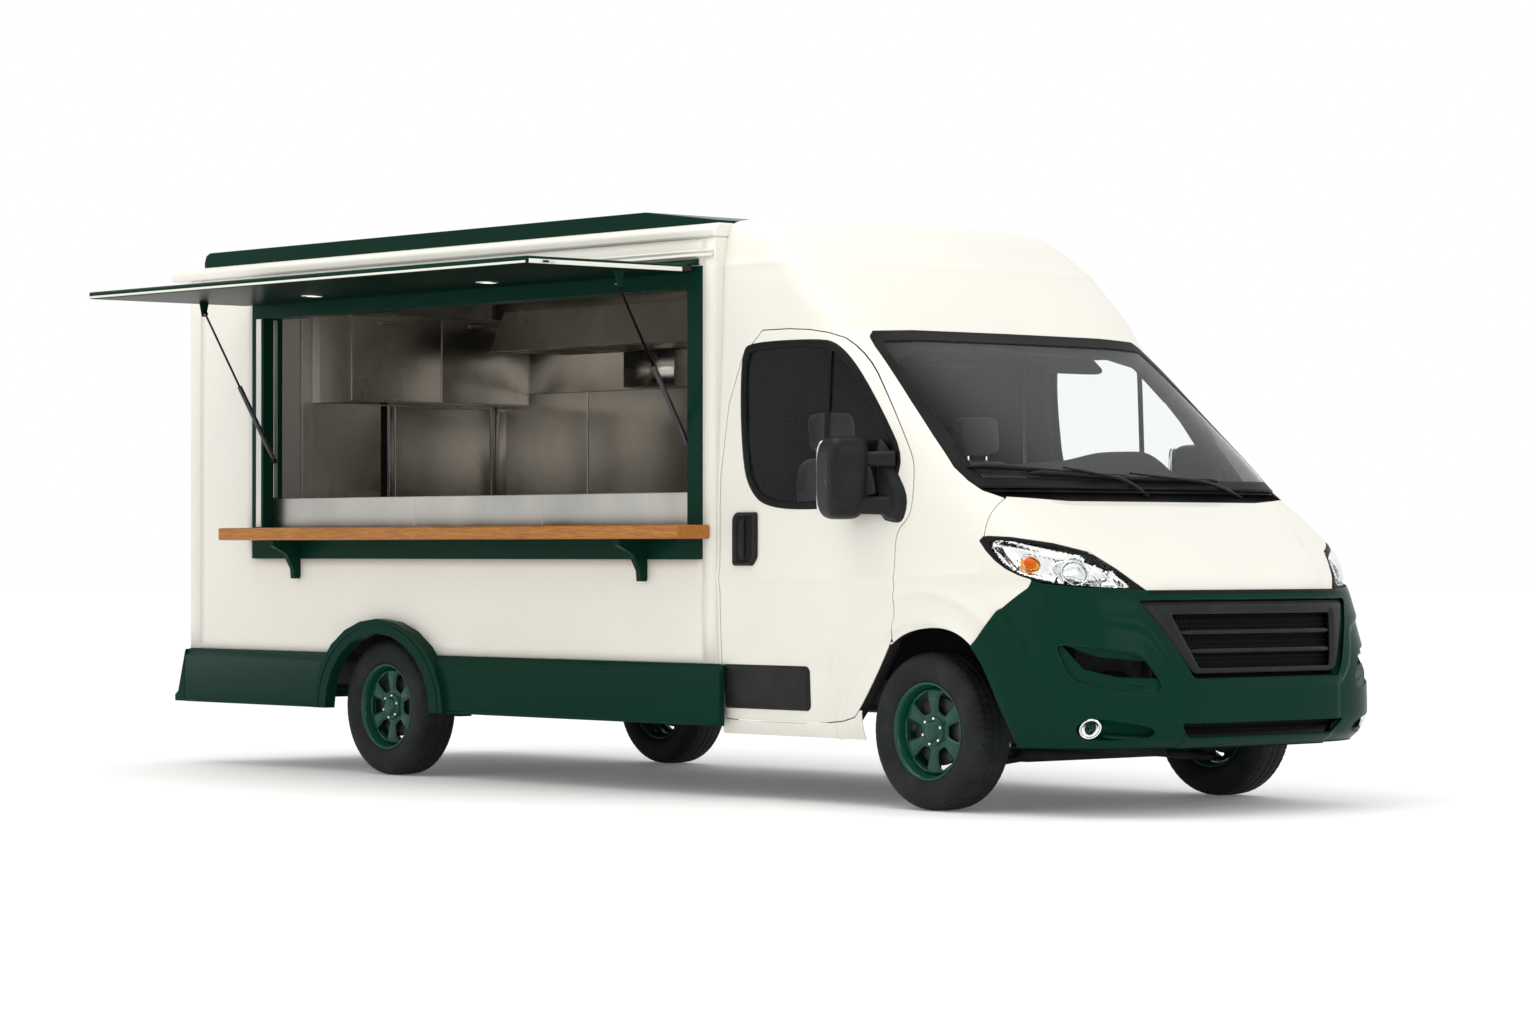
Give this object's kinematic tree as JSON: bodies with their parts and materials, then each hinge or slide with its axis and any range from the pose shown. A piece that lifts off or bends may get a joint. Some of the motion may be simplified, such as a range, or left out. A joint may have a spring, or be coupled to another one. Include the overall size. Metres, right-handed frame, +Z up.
{
  "type": "food truck",
  "caption": "Van-fronted food truck: kitchen box with a raised service hatch on gas struts, a serving shelf, opening doors and bonnet, and steered front wheels.",
  "frame": {"origin": "centre of the truck's box, at the height of the ground", "axes": "+X towards the nose, +Y towards the left side away from the service window, +Z up"},
  "size_m": [7.06, 3.3224, 2.75],
  "materials": {
    "cream_paint": "gloss cream paint",
    "green_paint": "gloss dark green paint",
    "rim_green": "high gloss green lacquer on a cast wheel",
    "black_plastic": "grained black plastic",
    "trim": "soft dark cabin trim",
    "tyre": "tyre rubber",
    "steel": "dark coated chassis steel",
    "stainless": "brushed stainless sheet",
    "wood": "oiled honey-coloured hardwood",
    "glass": "tinted safety glass",
    "lamp": "clear lamp lens",
    "fabric": "dark woven seat cloth"
  },
  "bodies": {
    "truck": {"box_floor": "black_plastic", "box_left_wall": "cream_paint", "box_rear_wall": "cream_paint", "box_right_wall": "cream_paint", "box_roof": "cream_paint", "bulkhead": "cream_paint", "cab_shell": "cream_paint", "chassis_frame": "steel", "cowl": "black_plastic", "dashboard": "trim", "engine_block": "steel", "front_axle": "steel", "front_bumper": "green_paint", "fuel_tank": "black_plastic", "grille": "black_plastic", "hatch_hinge": "green_paint", "headlamp_left": "lamp", "headlamp_right": "lamp", "left_counter": "stainless", "lining_and_hood": "stainless", "overhead_cupboard": "stainless", "rear_axle": "steel", "rear_bumper": "green_paint", "right_counter": "stainless", "roof_cap": "green_paint", "seat_driver": "fabric", "seat_passenger": "fabric", "shelf": "wood", "skirt_left": "green_paint", "skirt_right": "green_paint", "window_frame": "green_paint", "windscreen": "glass"},
    "knuckle_left": {"knuckle_left": "steel"},
    "knuckle_right": {"knuckle_right": "steel"},
    "wheel_front_left": {"tyre_front_left": "tyre", "rim_front_left": "rim_green"},
    "wheel_front_right": {"tyre_front_right": "tyre", "rim_front_right": "rim_green"},
    "wheel_rear_left": {"tyre_rear_left": "tyre", "rim_rear_left": "rim_green"},
    "wheel_rear_right": {"tyre_rear_right": "tyre", "rim_rear_right": "rim_green"},
    "steering_wheel": {"steering_wheel": "trim"},
    "door_left": {"door_left": "cream_paint", "door_glass_left": "glass", "mirror_left": "black_plastic"},
    "door_right": {"door_right": "cream_paint", "door_glass_right": "glass", "mirror_right": "black_plastic"},
    "bonnet": {"bonnet": "cream_paint"},
    "hatch": {"hatch": "green_paint"},
    "strut_tube_front": {"strut_tube_front": "black_plastic"},
    "strut_tube_rear": {"strut_tube_rear": "black_plastic"},
    "strut_rod_front": {"strut_rod_front": "steel"},
    "strut_rod_rear": {"strut_rod_rear": "steel"},
    "side_door": {"side_door": "cream_paint"}
  },
  "joints": [
    {"name": "spin_front_left", "type": "hinge", "parent": "knuckle_left", "child": "wheel_front_left", "pos_m": [2.42, 1.304, 0.35], "axis": [0, 1, 0], "continuous": true},
    {"name": "spin_front_right", "type": "hinge", "parent": "knuckle_right", "child": "wheel_front_right", "pos_m": [2.42, -0.506, 0.35], "axis": [0, 1, 0], "continuous": true},
    {"name": "spin_rear_left", "type": "hinge", "parent": "truck", "child": "wheel_rear_left", "pos_m": [-1.615, 1.304, 0.35], "axis": [0, 1, 0], "continuous": true},
    {"name": "spin_rear_right", "type": "hinge", "parent": "truck", "child": "wheel_rear_right", "pos_m": [-1.615, -0.506, 0.35], "axis": [0, 1, 0], "continuous": true},
    {"name": "steer_left", "type": "hinge", "parent": "truck", "child": "knuckle_left", "pos_m": [2.42, 1.219, 0.35], "axis": [0, 0, 1], "range_deg": [-32, 32]},
    {"name": "steer_right", "type": "hinge", "parent": "truck", "child": "knuckle_right", "pos_m": [2.42, -0.421, 0.35], "axis": [0, 0, 1], "range_deg": [-32, 32]},
    {"name": "steering_wheel", "type": "hinge", "parent": "truck", "child": "steering_wheel", "pos_m": [1.9, 0.869, 1.3], "axis": [0.4695, 0, -0.8829], "range_deg": [-481, 481]},
    {"name": "open_door_left", "type": "hinge", "parent": "truck", "child": "door_left", "pos_m": [2.372, 1.433, 1], "axis": [0, 0, -1], "range_deg": [0, 70]},
    {"name": "open_door_right", "type": "hinge", "parent": "truck", "child": "door_right", "pos_m": [2.372, -0.635, 1], "axis": [0, 0, 1], "range_deg": [0, 70]},
    {"name": "open_bonnet", "type": "hinge", "parent": "truck", "child": "bonnet", "pos_m": [2.78, 0.399, 1.392], "axis": [0, -1, 0], "range_deg": [0, 55]},
    {"name": "close_hatch", "type": "hinge", "parent": "truck", "child": "hatch", "pos_m": [-0.915, -0.686, 2.475], "axis": [1, 0, 0], "range_deg": [0, 88]},
    {"name": "swing_strut_rear", "type": "hinge", "parent": "truck", "child": "strut_tube_rear", "pos_m": [-2.614, -0.601, 1.62], "axis": [1, 0, 0], "range_deg": [-26.5, 0]},
    {"name": "slide_strut_rear", "type": "slide", "parent": "strut_tube_rear", "child": "strut_rod_rear", "axis": [0, -0.4968, 0.8679], "range_m": [-0.41, 0]},
    {"name": "swing_strut_front", "type": "hinge", "parent": "truck", "child": "strut_tube_front", "pos_m": [0.799, -0.601, 1.62], "axis": [1, 0, 0], "range_deg": [-26.5, 0]},
    {"name": "slide_strut_front", "type": "slide", "parent": "strut_tube_front", "child": "strut_rod_front", "axis": [0, -0.4968, 0.8679], "range_m": [-0.41, 0]},
    {"name": "open_side_door", "type": "hinge", "parent": "truck", "child": "side_door", "pos_m": [0.563, 1.439, 1], "axis": [0, 0, -1], "range_deg": [0, 95]}
  ],
  "couplings": [
    {"joint": "steer_right", "follows": "steer_left", "ratio": 1},
    {"joint": "steering_wheel", "follows": "steer_left", "ratio": -15},
    {"joint": "swing_strut_rear", "follows": "close_hatch", "ratio": -0.29526},
    {"joint": "slide_strut_rear", "follows": "close_hatch", "m_per_rad": -0.26283},
    {"joint": "swing_strut_front", "follows": "close_hatch", "ratio": -0.29526},
    {"joint": "slide_strut_front", "follows": "close_hatch", "m_per_rad": -0.26283}
  ]
}
